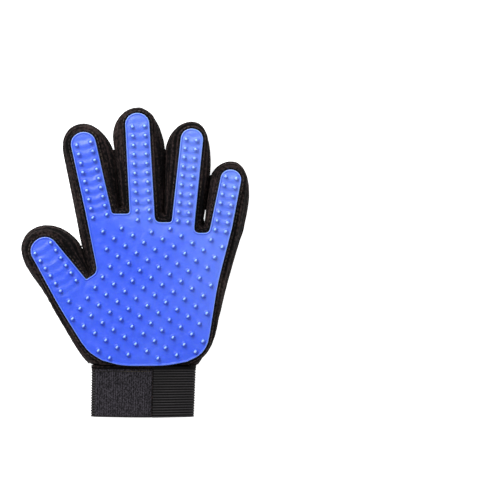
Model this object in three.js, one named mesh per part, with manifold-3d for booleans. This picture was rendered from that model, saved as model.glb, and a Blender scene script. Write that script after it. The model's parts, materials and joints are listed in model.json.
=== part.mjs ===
// Grooming glove, left hand, lying on its back with the nubbed palm pad facing up.
// Millimetres; +Y to the fingertips, +Z up, thumb at -X, origin under the middle of the glove.
import * as THREE from 'three';
import { mergeVertices } from 'three/addons/utils/BufferGeometryUtils.js';
import Module from 'manifold-3d';

const wasm = await Module();
wasm.setup();

// Driving dimensions. Layers are heights above the surface that the glove lies on.
const GAP = 0.3;
const BACK = { bottom: 0, top: 2 };
const WALL = { bottom: 2.3, top: 13, thickness: 1.4, inset: 0.3 };
const PALM = { bottom: 13.3, top: 14.8, margin: 2.6 };
const PAD = { bottom: 15.1, top: 16.9 };
const NUB = { radius: 1.6, height: 3.5, sides: 5, sink: 0.5, clearance: 3.4 };
const STATIONS = 8;
const BASE_STEPS = 3;
const TIP_STEPS = 10;
const WELD = 1e-4;

// One row per finger. root is the middle of its root flex line and lean its turn to the left,
// in degrees. length, padLength and middle (the second flex line) run along the finger. left
// and right shape the back panel's sides: half-width at the root and at the widest, how far
// along the widest is, and how full the tip is. pad is the rubber strip's half-widths at its
// root and tip, columns where its two rows of nubs stand.
const FINGERS = [
  {
    name: 'thumb', root: [-48, -20], lean: 34, length: 53.6, padLength: 45, middle: 27.2,
    left: [17.6, 18.4, 26, 2.6], right: [18, 24.2, 24.5, 2], pad: [13.8, 10.4],
    columns: [-6.8, 7.2], pitch: 6.8, rows: 6, rootRows: 0,
  },
  {
    name: 'index', root: [-27.2, 38.3], lean: 12.5, length: 67.3, padLength: 60.7, middle: 27.8,
    left: [17.3, 16.6, 44, 2.6], right: [16.2, 20.6, 39.5, 1.7], pad: [9.6, 9.4],
    columns: [-5, 5.6], pitch: 6.94, rows: 8, rootRows: 1,
  },
  {
    name: 'middle', root: [5.2, 42.8], lean: 3.1, length: 73.1, padLength: 69.4, middle: 34.9,
    left: [15.5, 18.9, 51, 2.2], right: [15.9, 19.3, 37, 2.1], pad: [9.3, 9.1],
    columns: [-3.8, 5.4], pitch: 6.98, rows: 9, rootRows: 2,
  },
  {
    name: 'ring', root: [36.7, 34.3], lean: -5.95, length: 71.5, padLength: 66.4, middle: 34.05,
    left: [14.7, 18.8, 48, 2.1], right: [14.6, 16, 28.5, 2.4], pad: [8.6, 8.4],
    columns: [-4.3, 3.4], pitch: 6.81, rows: 9, rootRows: 1,
  },
  {
    name: 'little', root: [64.9, 27.4], lean: -11.3, length: 49.2, padLength: 43, middle: 20.2,
    left: [12.6, 15.6, 32, 1.9], right: [16.5, 16.5, 14, 2.1], pad: [8, 7.8],
    columns: [-4.1, 3.7], pitch: 6.73, rows: 6, rootRows: 1,
  },
];
const STRIP_FULLNESS = 2.2;

// The sides of the hand between the cuff and the outer fingers, back seam and rubber edge.
const WRIST_Y = -76.4;
const SIDES = {
  thumbBack: [[-31.6, WRIST_Y], [-39.6, -69.9], [-50.8, -51.9], [-60, -35.5]],
  thumbPad: [[-20, -76.2], [-31.5, -69.5], [-42, -56.4], [-53, -38.4]],
  littleBack: [[77.2, 12.5], [69.2, -15.9], [62, -42.9], [54.5, -64.5], [45, WRIST_Y]],
  littlePad: [[69.2, 11.1], [62.3, -15.9], [57.6, -42.9], [53, -63], [38, -76.2]],
};

// Notches in the rubber between neighbouring fingers. drops are how far each one's two sides
// run on below the flex lines, floor the middle of its bottom, and crotch where the back
// seams of the two fingers meet.
const NOTCHES = [
  { drops: [3.2, 40], floor: [-32.4, -8.8], crotch: [[-36, 0.8], [-40, 13], [-41.8, 22]] },
  { drops: [1.5, 3.5], floor: [-10.2, 37.3], crotch: [[-10.8, 40.2]] },
  { drops: [10, 2.5], floor: [21.6, 30.6], crotch: [[21.4, 39]] },
  { drops: [8.5, 4], floor: [51.1, 22.7], crotch: [[51.9, 28.4]] },
];
const NOTCH_LEAST = 2;

// Nubs on the palm stand on a lattice turned to the hand.
const LATTICE = { origin: [-23.85, 23.4], across: [8.33, -5.33], along: [5.63, 7.8], reach: 16 };

const CUFF = {
  left: -32.6, right: 45.8, top: -76.8, bottom: -115.8, cloth: 1.6, frontTop: 11.2, frontEnd: 26,
};
const LOOP = { left: -31, right: 25, bottom: 11.5, top: 12.7, inset: 0.9 };
const HOOK = { left: 14.8, right: 34, bottom: 13, top: 13.7, inset: 2 };
const STRAP = { end: 13.9, hinge: 38, bottom: 14, top: 15.6, hem: 4.4, hemTop: 16.6 };

const finishes = {
  rubber: { color: 0x4a7cf2, roughness: 0.45, metalness: 0 },
  knit: { color: 0x1c1a1e, roughness: 0.9, metalness: 0 },
  mesh: { color: 0x242327, roughness: 0.95, metalness: 0 },
  elastic: { color: 0x2b2a2d, roughness: 0.85, metalness: 0 },
  loop: { color: 0x343337, roughness: 1, metalness: 0 },
  hook: { color: 0x202022, roughness: 0.6, metalness: 0 },
};

function named(name, geometry, finish) {
  const mesh = new THREE.Mesh(geometry, new THREE.MeshStandardMaterial(finishes[finish]));
  mesh.name = name;
  return mesh;
}

function plate(outline, layer) {
  const shape = new THREE.Shape(outline);
  const depth = layer.top - layer.bottom;
  const geometry = new THREE.ExtrudeGeometry(shape, { depth, bevelEnabled: false });
  geometry.translate(0, 0, layer.bottom);
  return geometry;
}

function solidOf(geometry) {
  geometry.deleteAttribute('normal');
  geometry.deleteAttribute('uv');
  const merged = mergeVertices(geometry, WELD);
  return new wasm.Manifold(new wasm.Mesh({
    numProp: 3,
    vertProperties: new Float32Array(merged.attributes.position.array),
    triVerts: new Uint32Array(merged.index.array),
  }));
}

function geometryOf(solid) {
  const mesh = solid.getMesh();
  const geometry = new THREE.BufferGeometry();
  geometry.setAttribute('position', new THREE.BufferAttribute(mesh.vertProperties, 3));
  geometry.setIndex(new THREE.BufferAttribute(mesh.triVerts, 1));
  return geometry;
}

// Unit vectors square to a chain of points, to the left of the way that it runs.
function leftOf(points) {
  return points.map((_, i) => {
    const before = points[Math.max(i - 1, 0)];
    const after = points[Math.min(i + 1, points.length - 1)];
    const way = after.clone().sub(before).normalize();
    return new THREE.Vector2(-way.y, way.x);
  });
}

// Pushes a chain of points sideways, to the left of the way that it runs.
function pushed(points, distance) {
  const aside = leftOf(points);
  return points.map((point, i) => point.clone().addScaledVector(aside[i], distance));
}

// The outer and inner edge of a wall at one height, from how its points lie at an inset.
function wallEdges(pointsAt) {
  return [pointsAt(WALL.inset), pointsAt(WALL.inset + WALL.thickness)];
}

// A wall between its lower and upper edges, which run with the inner side on their left.
function wallBetween([lower, lowerInner], [upper, upperInner]) {
  const rings = lower.map((low, i) => [
    [low.x, low.y, WALL.bottom],
    [upper[i].x, upper[i].y, WALL.top],
    [upperInner[i].x, upperInner[i].y, WALL.top],
    [lowerInner[i].x, lowerInner[i].y, WALL.bottom],
  ]);
  const index = [0, 1, 2, 0, 2, 3];
  for (let i = 0; i < rings.length - 1; i += 1) {
    for (let k = 0; k < 4; k += 1) {
      const a = i * 4 + k;
      const b = i * 4 + (k + 1) % 4;
      index.push(a, b + 4, b, a, a + 4, b + 4);
    }
  }
  const last = (rings.length - 1) * 4;
  index.push(last, last + 2, last + 1, last, last + 3, last + 2);
  const geometry = new THREE.BufferGeometry();
  geometry.setAttribute('position', new THREE.Float32BufferAttribute(rings.flat(2), 3));
  geometry.setIndex(index);
  return geometry;
}

function spline(points, steps = STATIONS) {
  return new THREE.SplineCurve(points).getPoints(steps);
}

function vectors(pairs) {
  return pairs.map(([x, y]) => new THREE.Vector2(x, y));
}

// Half-width of one side of a finger at a distance along it, rounding off at the tip.
function halfWidth([atRoot, widest, widestAt, fullness], length, along) {
  if (along <= widestAt) {
    return atRoot + (widest - atRoot) * along / widestAt;
  }
  const past = (along - widestAt) / (length - widestAt);
  return widest * Math.sqrt(Math.max(1 - past ** fullness, 0));
}

// A layer of a finger that is the same on its left and right.
function evenLayer(finger, margin) {
  const [atRoot, atTip] = finger.pad.map((half) => half + margin);
  const length = finger.padLength + margin;
  const side = [atRoot, atTip, length - atTip, STRIP_FULLNESS];
  return { left: side, right: side, length };
}

// The three outlines of a finger: back seam, palm fabric and rubber strip.
function fingerLayers(finger) {
  return {
    back: { left: finger.left, right: finger.right, length: finger.length },
    palm: evenLayer(finger, PALM.margin),
    pad: evenLayer(finger, 0),
  };
}

// Points along one side (-1 left, 1 right) of a finger layer, from one distance to another.
function sidePoints(layer, side, from, to, inset = 0) {
  const halves = side < 0 ? layer.left : layer.right;
  return Array.from({ length: BASE_STEPS + 1 }, (_, i) => {
    const along = from + (to - from) * i / BASE_STEPS;
    return new THREE.Vector2(side * (halfWidth(halves, layer.length, along) - inset), along);
  });
}

// The round end of a finger layer, from its right side over the tip to its left side.
function tipPoints(layer, from, inset) {
  const length = layer.length - inset;
  const turn = Math.PI / 2 / TIP_STEPS;
  const steps = Array.from({ length: TIP_STEPS + 1 }, (_, i) => Math.sin(turn * i));
  const sideOf = (side, halves) => steps.map((step) => {
    const along = from + (length - from) * step;
    const share = along * layer.length / length;
    const half = halfWidth(halves, layer.length, Math.min(share, layer.length)) - inset;
    return new THREE.Vector2(side * Math.max(half, 0), along);
  });
  return [...sideOf(1, layer.right), ...sideOf(-1, layer.left).reverse().slice(1)];
}

function nub(x, y) {
  const height = NUB.height + NUB.sink;
  const geometry = new THREE.ConeGeometry(NUB.radius, height, NUB.sides);
  geometry.rotateX(Math.PI / 2);
  geometry.translate(x, y, PAD.top - NUB.sink + height / 2);
  return geometry;
}

function nubbedPad(outline, places) {
  let solid = solidOf(plate(outline, PAD));
  for (const [x, y] of places) {
    solid = solid.add(solidOf(nub(x, y)));
  }
  return geometryOf(solid);
}

function fingerNubs(finger, from, to) {
  const places = [];
  for (let row = 0; row < finger.rows; row += 1) {
    const along = finger.pitch * (row + 0.5);
    if (along > from && along < to) {
      finger.columns.forEach((across) => places.push([across, along]));
    }
  }
  return places;
}

function fingerBase(finger, layers) {
  const from = GAP / 2;
  const to = finger.middle - GAP / 2;
  const part = `${finger.name}_base`;
  const rightEdges = (layer) => wallEdges((inset) => sidePoints(layer, 1, from, to, inset));
  const leftEdges = (layer) => wallEdges((inset) => sidePoints(layer, -1, from, to, inset).reverse());
  const outline = (layer) => [
    ...sidePoints(layer, 1, from, to),
    ...sidePoints(layer, -1, from, to).reverse(),
  ];
  const leftWall = wallBetween(leftEdges(layers.back), leftEdges(layers.palm));
  const rightWall = wallBetween(rightEdges(layers.back), rightEdges(layers.palm));
  return [
    named(`${part}_back`, plate(outline(layers.back), BACK), 'mesh'),
    named(`${part}_fourchette_left`, leftWall, 'knit'),
    named(`${part}_fourchette_right`, rightWall, 'knit'),
    named(`${part}_palm`, plate(outline(layers.palm), PALM), 'knit'),
    named(`${part}_pad`, nubbedPad(outline(layers.pad), fingerNubs(finger, from, to)), 'rubber'),
  ];
}

function fingerTip(finger, layers) {
  const from = finger.middle + GAP / 2;
  const part = `${finger.name}_tip`;
  const edges = (layer) => wallEdges((inset) => tipPoints(layer, from, inset));
  const wall = wallBetween(edges(layers.back), edges(layers.palm));
  const nubs = fingerNubs(finger, from, layers.pad.length);
  return [
    named(`${part}_back`, plate(tipPoints(layers.back, from, 0), BACK), 'mesh'),
    named(`${part}_fourchette`, wall, 'knit'),
    named(`${part}_palm`, plate(tipPoints(layers.palm, from, 0), PALM), 'knit'),
    named(`${part}_pad`, nubbedPad(tipPoints(layers.pad, from, 0), nubs), 'rubber'),
  ];
}

function buildFinger(finger) {
  const group = new THREE.Group();
  const layers = fingerLayers(finger);
  group.position.set(finger.root[0], finger.root[1], 0);
  group.rotation.z = THREE.MathUtils.degToRad(finger.lean);
  group.add(...fingerBase(finger, layers), ...fingerTip(finger, layers));
  return group;
}

// A point of the hand given in a finger's own directions: across it and along it.
function fromFinger(finger, across, along) {
  const point = new THREE.Vector2(across, along);
  point.rotateAround(new THREE.Vector2(), THREE.MathUtils.degToRad(finger.lean));
  return point.add(new THREE.Vector2(...finger.root));
}

// Both ends of a finger's root flex line at one layer, on the hand's side of the gap.
function rootEnds(finger, layerName) {
  const layer = fingerLayers(finger)[layerName];
  return {
    left: fromFinger(finger, -layer.left[0] - GAP, -GAP / 2),
    right: fromFinger(finger, layer.right[0] + GAP, -GAP / 2),
  };
}

// The edge of the rubber or palm fabric round a notch, from the finger on its right, whose
// left side it follows down, across the bottom and up the finger on its left.
function notchEdge(notch, fingers, layerName, margin) {
  const [leftFinger, rightFinger] = fingers;
  const [leftDrop, rightDrop] = notch.drops.map((drop) => drop - margin);
  const leftHalf = fingerLayers(leftFinger)[layerName].right[0];
  const rightHalf = fingerLayers(rightFinger)[layerName].left[0];
  const outward = THREE.MathUtils.degToRad((leftFinger.lean + rightFinger.lean) / 2);
  const floor = new THREE.Vector2(0, margin).rotateAround(new THREE.Vector2(), outward);
  const edge = [floor.add(new THREE.Vector2(...notch.floor))];
  if (rightDrop > NOTCH_LEAST) {
    edge.unshift(fromFinger(rightFinger, -rightHalf, -rightDrop));
  }
  if (leftDrop > NOTCH_LEAST) {
    edge.push(fromFinger(leftFinger, leftHalf, -leftDrop));
  }
  return [
    fromFinger(rightFinger, -rightHalf, -GAP / 2),
    ...edge,
    fromFinger(leftFinger, leftHalf, -GAP / 2),
  ];
}

// The hand's edges at one layer, counter-clockwise as seen from above: the little finger's
// side, the notches between the fingers, and the thumb's side.
function handEdges(layerName) {
  const back = layerName === 'back';
  const margin = layerName === 'palm' ? PALM.margin : 0;
  const ends = FINGERS.map((finger) => rootEnds(finger, layerName));
  const littleSide = vectors(back ? SIDES.littleBack : SIDES.littlePad).reverse();
  const thumbSide = vectors(back ? SIDES.thumbBack : SIDES.thumbPad).reverse();
  const side = (points) => pushed(points, -margin).map((p) => p.setY(Math.max(p.y, WRIST_Y)));
  const notches = NOTCHES.map((notch, i) => {
    if (back) {
      return [ends[i + 1].left, ...vectors(notch.crotch).reverse(), ends[i].right];
    }
    return notchEdge(notch, FINGERS.slice(i, i + 2), layerName, margin);
  });
  return {
    littleSide: [...side(littleSide), ends[4].right],
    notches: notches.reverse(),
    thumbSide: [ends[0].left, ...side(thumbSide)],
  };
}

function handOutline(layerName) {
  const edges = handEdges(layerName);
  const chains = [edges.littleSide, ...edges.notches, edges.thumbSide];
  return chains.flatMap((chain) => spline(chain));
}

function roomInside([x, y], outline) {
  let inside = false;
  let room = Infinity;
  outline.forEach((a, i) => {
    const b = outline[(i + 1) % outline.length];
    if ((a.y > y) !== (b.y > y) && x < (b.x - a.x) * (y - a.y) / (b.y - a.y) + a.x) {
      inside = !inside;
    }
    const along = b.clone().sub(a);
    const offset = new THREE.Vector2(x, y).sub(a);
    const share = THREE.MathUtils.clamp(offset.dot(along) / along.lengthSq(), 0, 1);
    room = Math.min(room, offset.distanceTo(along.multiplyScalar(share)));
  });
  return inside ? room : 0;
}

// Nubs of the palm: the lattice, and the finger rows that start below the flex lines.
function palmNubs(outline) {
  const rootNubs = [];
  for (const finger of FINGERS) {
    for (let row = 0; row < finger.rootRows; row += 1) {
      const along = -finger.pitch * (row + 0.5);
      const places = finger.columns.map((across) => fromFinger(finger, across, along));
      rootNubs.push(...places.map((place) => place.toArray()));
    }
  }
  const places = [...rootNubs];
  for (let i = -LATTICE.reach; i <= LATTICE.reach; i += 1) {
    for (let j = -LATTICE.reach; j <= LATTICE.reach; j += 1) {
      const x = LATTICE.origin[0] + LATTICE.across[0] * i + LATTICE.along[0] * j;
      const y = LATTICE.origin[1] + LATTICE.across[1] * i + LATTICE.along[1] * j;
      const crowded = rootNubs.some(([nx, ny]) => Math.hypot(nx - x, ny - y) < 2 * NUB.clearance);
      if (!crowded && roomInside([x, y], outline) > NUB.clearance) {
        places.push([x, y]);
      }
    }
  }
  return places;
}

function buildHand() {
  const backEdges = handEdges('back');
  const palmEdges = handEdges('palm');
  const edges = (chain) => wallEdges((inset) => pushed(spline(chain), inset));
  const wall = (low, high) => wallBetween(edges(low), edges(high));
  const webs = ['ring_little_web', 'middle_ring_web', 'index_middle_web', 'thumb_index_web'];
  const padOutline = handOutline('pad');
  return [
    named('hand_back', plate(handOutline('back'), BACK), 'mesh'),
    named('little_side_wall', wall(backEdges.littleSide, palmEdges.littleSide), 'knit'),
    named('thumb_side_wall', wall(backEdges.thumbSide, palmEdges.thumbSide), 'knit'),
    ...webs.map((name, i) => named(name, wall(backEdges.notches[i], palmEdges.notches[i]), 'knit')),
    named('hand_palm', plate(handOutline('palm'), PALM), 'knit'),
    named('palm_pad', nubbedPad(padOutline, palmNubs(padOutline)), 'rubber'),
  ];
}

// A section drawn in X and Z, run along the cuff's height.
function alongCuff(shape, inset = 0) {
  const depth = CUFF.top - CUFF.bottom - 2 * inset;
  const geometry = new THREE.ExtrudeGeometry(shape, { depth, bevelEnabled: false, curveSegments: 8 });
  geometry.rotateX(Math.PI / 2);
  geometry.translate(0, CUFF.top - inset, 0);
  return geometry;
}

function bar(left, right, bottom, top) {
  return new THREE.Shape(vectors([[left, bottom], [right, bottom], [right, top], [left, top]]));
}

// The cuff is a back layer, a fold round the thumb side and a front layer that stops short.
function cuffSection() {
  const radius = CUFF.frontTop / 2;
  const bend = CUFF.left + radius;
  const end = STRAP.hinge - GAP;
  const shape = new THREE.Shape();
  shape.moveTo(end, 0);
  shape.lineTo(end, CUFF.cloth);
  shape.lineTo(bend, CUFF.cloth);
  shape.absarc(bend, radius, radius - CUFF.cloth, -Math.PI / 2, Math.PI / 2, true);
  shape.lineTo(CUFF.frontEnd, CUFF.frontTop - CUFF.cloth);
  shape.lineTo(CUFF.frontEnd, CUFF.frontTop);
  shape.lineTo(bend, CUFF.frontTop);
  shape.absarc(bend, radius, radius, Math.PI / 2, -Math.PI / 2, false);
  return shape;
}

// The strap's fixed end turns up round the little finger's side of the cuff.
function returnSection() {
  const radius = STRAP.top / 2;
  const centre = CUFF.right - radius;
  const shape = new THREE.Shape();
  shape.moveTo(centre, 0);
  shape.absarc(centre, radius, radius, -Math.PI / 2, Math.PI / 2, false);
  shape.absarc(centre, radius, radius - CUFF.cloth, Math.PI / 2, -Math.PI / 2, true);
  return shape;
}

function buildCuff() {
  const loop = bar(LOOP.left, LOOP.right, LOOP.bottom, LOOP.top);
  return [
    named('cuff_band', alongCuff(cuffSection()), 'elastic'),
    named('loop_patch', alongCuff(loop, LOOP.inset), 'loop'),
    named('strap_return', alongCuff(returnSection()), 'elastic'),
  ];
}

function buildStrap() {
  const end = STRAP.hinge - GAP;
  const hem = bar(STRAP.end, STRAP.end + STRAP.hem, STRAP.top + GAP, STRAP.hemTop);
  const hook = bar(HOOK.left, HOOK.right, HOOK.bottom, HOOK.top);
  return [
    named('strap', alongCuff(bar(STRAP.end, end, STRAP.bottom, STRAP.top)), 'elastic'),
    named('strap_hem', alongCuff(hem), 'elastic'),
    named('hook_patch', alongCuff(hook, HOOK.inset), 'hook'),
  ];
}

const glove = new THREE.Group();
glove.add(...FINGERS.map(buildFinger), ...buildHand(), ...buildCuff(), ...buildStrap());

export default glove;
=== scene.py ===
import json
import math

import bmesh
import bpy
import numpy as np
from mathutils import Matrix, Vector, kdtree, noise
from mathutils.geometry import delaunay_2d_cdt


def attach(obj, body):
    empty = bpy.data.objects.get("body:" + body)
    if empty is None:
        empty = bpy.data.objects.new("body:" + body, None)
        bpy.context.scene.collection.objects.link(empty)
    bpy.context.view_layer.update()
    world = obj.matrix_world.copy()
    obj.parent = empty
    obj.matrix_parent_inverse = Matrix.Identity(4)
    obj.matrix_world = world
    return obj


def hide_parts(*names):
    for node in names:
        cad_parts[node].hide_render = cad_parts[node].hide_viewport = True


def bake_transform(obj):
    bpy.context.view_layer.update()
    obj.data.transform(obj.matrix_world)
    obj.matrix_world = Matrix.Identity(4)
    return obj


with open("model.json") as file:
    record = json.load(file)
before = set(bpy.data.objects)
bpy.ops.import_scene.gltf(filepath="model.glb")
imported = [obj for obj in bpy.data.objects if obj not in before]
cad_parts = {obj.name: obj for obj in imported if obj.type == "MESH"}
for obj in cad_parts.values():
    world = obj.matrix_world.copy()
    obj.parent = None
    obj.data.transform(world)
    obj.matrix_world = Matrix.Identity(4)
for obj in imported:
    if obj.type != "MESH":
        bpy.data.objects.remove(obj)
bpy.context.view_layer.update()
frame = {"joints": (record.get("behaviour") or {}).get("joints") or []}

MM = 0.001
scene = bpy.context.scene

# The glove lies on a white table, seen from straight above through a long lens, a little to
# the right of its middle, as the left one of a pair. Soft light falls from the upper left.
FIELD = 375.0
LENS = 400.0
SENSOR = 36.0
EYE = (86.25, 9.5)
FOCUS_HEIGHT = 8.0

lens = bpy.data.cameras.new("camera")
lens.lens = LENS
lens.sensor_width = SENSOR
lens.clip_end = 20.0
camera = bpy.data.objects.new("camera", lens)
camera.location = (EYE[0] * MM, EYE[1] * MM, (FIELD * LENS / SENSOR + FOCUS_HEIGHT) * MM)
scene.collection.objects.link(camera)
scene.camera = camera
scene.view_settings.view_transform = "Standard"
scene.view_settings.look = "None"

world = bpy.data.worlds.new("studio")
world.use_nodes = True
world.node_tree.nodes["Background"].inputs["Color"].default_value = (1.0, 1.0, 1.0, 1.0)
world.node_tree.nodes["Background"].inputs["Strength"].default_value = 0.42
scene.world = world


def softbox(name, place, watts, size):
    light = bpy.data.lights.new(name, "AREA")
    light.energy = watts
    light.size = size
    lamp = bpy.data.objects.new(name, light)
    lamp.location = place
    lamp.rotation_euler = (-Vector(place)).to_track_quat("-Z", "Y").to_euler()
    scene.collection.objects.link(lamp)


softbox("key_light", (-0.55, 0.85, 1.2), 21.0, 0.5)
softbox("rake_light", (-0.3, 1.5, 0.5), 7.0, 0.5)
softbox("fill_light", (0.9, -0.7, 1.3), 3.0, 1.2)


# Every finish is a Principled surface. Wire wraps one socket, so that shader maths reads as
# plain arithmetic, and node makes any other node.
class Wire:
    def __init__(self, finish, socket):
        self.finish = finish
        self.socket = socket

    def math(self, operation, *values):
        inputs = dict(enumerate(values))
        return self.finish.node("ShaderNodeMath", {"operation": operation}, inputs)

    def __add__(self, other):
        return self.math("ADD", self, other)

    def __sub__(self, other):
        return self.math("SUBTRACT", self, other)

    def __rsub__(self, other):
        return self.math("SUBTRACT", other, self)

    def __mul__(self, other):
        return self.math("MULTIPLY", self, other)

    def __pow__(self, other):
        return self.math("POWER", self, other)

    def __rpow__(self, other):
        return self.math("POWER", other, self)

    __radd__ = __add__
    __rmul__ = __mul__

    def sine(self):
        return self.math("SINE", self)

    def clamped(self):
        return self.math("MINIMUM", self.math("MAXIMUM", self, 0.0), 1.0)


class Finish:
    def __init__(self, name, constants):
        self.material = bpy.data.materials.new(name)
        self.material.use_nodes = True
        self.tree = self.material.node_tree
        self.surface = self.tree.nodes["Principled BSDF"]
        for key, value in constants.items():
            self.surface.inputs[key].default_value = value

    def put(self, socket, value):
        if isinstance(value, Wire):
            self.tree.links.new(value.socket, socket)
        else:
            socket.default_value = value

    def node(self, kind, settings=None, inputs=None, output=0):
        made = self.tree.nodes.new(kind)
        for key, value in (settings or {}).items():
            setattr(made, key, value)
        for key, value in (inputs or {}).items():
            self.put(made.inputs[key], value)
        return Wire(self, made.outputs[output])

    def blend(self, share, first, second):
        """Two colours mixed. The first may be the outcome of another blend."""
        start = first if isinstance(first, Wire) else (*first, 1.0)
        inputs = {0: share, 6: start, 7: (*second, 1.0)}
        return self.node("ShaderNodeMix", {"data_type": "RGBA"}, inputs, 2)

    def place(self, scale=(1.0, 1.0, 1.0)):
        """Where a point is on the glove at rest, scaled."""
        spot = self.node("ShaderNodeTexCoord", output="Object")
        return self.node("ShaderNodeMapping", {}, {"Vector": spot, "Scale": scale})

    def cloth(self, scale=(1.0, 1.0, 1.0)):
        """Where a point is on the flat cloth, in metres, scaled."""
        spot = self.node("ShaderNodeUVMap", {"uv_map": "cloth"})
        return self.node("ShaderNodeMapping", {}, {"Vector": spot, "Scale": scale})

    def split(self, vector):
        return [self.node("ShaderNodeSeparateXYZ", {}, {0: vector}, i) for i in range(3)]

    def grain(self, vector, scale, detail=3.0):
        inputs = {"Vector": vector, "Scale": scale, "Detail": detail}
        return self.node("ShaderNodeTexNoise", {}, inputs, "Fac")

    def relief(self, height, depth, strength=1.0):
        inputs = {"Height": height, "Distance": depth, "Strength": strength}
        self.put(self.surface.inputs["Normal"], self.node("ShaderNodeBump", {}, inputs, "Normal"))

    def colour(self, value):
        self.put(self.surface.inputs["Base Color"], value)

    def roughness(self, value):
        self.put(self.surface.inputs["Roughness"], value)


table = bpy.data.meshes.new("table")
table.from_pydata([(-3, -3, 0), (3, -3, 0), (3, 3, 0), (-3, 3, 0)], [], [(0, 1, 2, 3)])
table_top = bpy.data.objects.new("table", table)
scene.collection.objects.link(table_top)
white = {"Base Color": (0.9, 0.9, 0.9, 1), "Emission Color": (1, 1, 1, 1), "Emission Strength": 0.9}
table.materials.append(Finish("white_table", white).material)


# The pattern of the glove. Every sewn edge is drawn once: the edge of the rubber, the edge of
# the palm fabric outside it, and the back seam. The three run side by side right round.
MARGIN = 2.6
BEND = 8.0
BEND_HALF = 4.0
STEP = 1.2
FLEX = {joint["name"]: joint for joint in frame["joints"]}


def half_width(side, length, along):
    at_root, widest, widest_at, fullness = side
    straight = at_root + (widest - at_root) * np.clip(along / widest_at, 0, 1)
    past = np.clip((along - widest_at) / (length - widest_at), 0, 1)
    return straight * (1 - past**fullness) ** 0.5


def even_layer(pad, pad_length, margin):
    at_root, at_tip = pad[0] + margin, pad[1] + margin
    length = pad_length + margin
    side = (at_root, at_tip, length - at_tip, 2.2)
    return side, side, length


class Finger:
    """One finger's pattern, in millimetres across it and along it from its root flex line."""

    def __init__(self, name, length, left, right, pad_length, pad, nubs):
        root, middle = (FLEX[f"{name}_{part}_flex"] for part in ("root", "middle"))
        self.name = name
        self.root = np.array(root["pos_m"][:2]) / MM
        self.across = np.array(root["axis"][:2])
        self.along = np.array([-self.across[1], self.across[0]])
        self.middle = float((np.array(middle["pos_m"][:2]) / MM - self.root) @ self.along)
        self.cut = self.middle - BEND_HALF
        self.columns, self.pitch, self.rows, self.root_rows = nubs
        self.layers = {
            "back": (left, right, length),
            "palm": even_layer(pad, pad_length, MARGIN),
            "pad": even_layer(pad, pad_length, 0),
        }

    def at(self, across, along):
        return self.root + np.outer(across, self.across) + np.outer(along, self.along)

    def edge(self, layer, side, along):
        left, right, length = self.layers[layer]
        half = half_width(left if side < 0 else right, length, along)
        return self.at(side * half, along)

    def toward_tip(self, layer, steps):
        length = self.layers[layer][2]
        return self.cut + (length - self.cut) * np.sin(np.linspace(0, math.pi / 2, steps))

    def spot(self, along, height=0.0):
        """A point on the finger's middle line, in the frame's metres."""
        point = self.root + self.along * along
        return (point[0] * MM, point[1] * MM, height * MM)


FINGERS = [
    Finger(
        "thumb", 53.6, (17.6, 18.4, 26, 2.6), (18, 24.2, 24.5, 2), 45, (13.8, 10.4),
        ((-6.8, 7.2), 6.8, 6, 0),
    ),
    Finger(
        "index", 67.3, (17.3, 16.6, 44, 2.6), (16.2, 20.6, 39.5, 1.7), 60.7, (9.6, 9.4),
        ((-5, 5.6), 6.94, 8, 1),
    ),
    Finger(
        "middle", 73.1, (15.5, 18.9, 51, 2.2), (15.9, 19.3, 37, 2.1), 69.4, (9.3, 9.1),
        ((-3.8, 5.4), 6.98, 9, 2),
    ),
    Finger(
        "ring", 71.5, (14.7, 18.8, 48, 2.1), (14.6, 16, 28.5, 2.4), 66.4, (8.6, 8.4),
        ((-4.3, 3.4), 6.81, 9, 1),
    ),
    Finger(
        "little", 49.2, (12.6, 15.6, 32, 1.9), (16.5, 16.5, 14, 2.1), 43, (8, 7.8),
        ((-4.1, 3.7), 6.73, 6, 1),
    ),
]
thumb, index, middle, ring, little = FINGERS

# Corners of the notches between fingers: across and along the finger on each side, then the
# crotch where the back seams meet.
NOTCHES = [
    (thumb, (13.8, -0.3), index, (-10.6, -44.3), [(-36, 0.8), (-40, 13), (-41.8, 22)]),
    (index, (9.6, -3.8), middle, (-9.3, -5.7), [(-10.8, 40.2)]),
    (middle, (9.3, -13.1), ring, (-8.6, -5), [(21.4, 39)]),
    (ring, (8.8, -11.2), little, (-8.2, -6.8), [(51.9, 28.4)]),
]
WRIST = -76.6
RUBBER_LITTLE_SIDE = [
    (39, -74.2), (47.3, -69.9), (52.2, -65), (55.2, -58), (57.8, -42.9), (62.3, -15.9), (69, 11.1),
]
RUBBER_THUMB_SIDE = [(-53.2, -38.4), (-42, -56.4), (-38.8, -61.2), (-33.5, -67.3), (-24.5, -73.2)]
RUBBER_WRIST = [(-10, -76.8), (7.5, -77.3), (24, -76.8)]
SEAM_LITTLE_SIDE = [(46.9, WRIST), (54, -65.4), (58.5, -56.4), (62.3, -42.9), (69, -15.9), (76.7, 11.1)]
SEAM_THUMB_SIDE = [(-60.9, -33.9), (-51, -51.9), (-45.8, -60.9), (-39.8, -69.9), (-33.8, WRIST)]


def evenly(points, count):
    """Points spaced evenly along a polyline."""
    points = np.asarray(points, float)
    steps = np.hypot(*np.diff(points, axis=0).T)
    travelled = np.concatenate([[0], np.cumsum(steps)])
    wanted = np.linspace(0, travelled[-1], count)
    return np.stack([np.interp(wanted, travelled, points[:, k]) for k in (0, 1)], 1)


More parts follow.
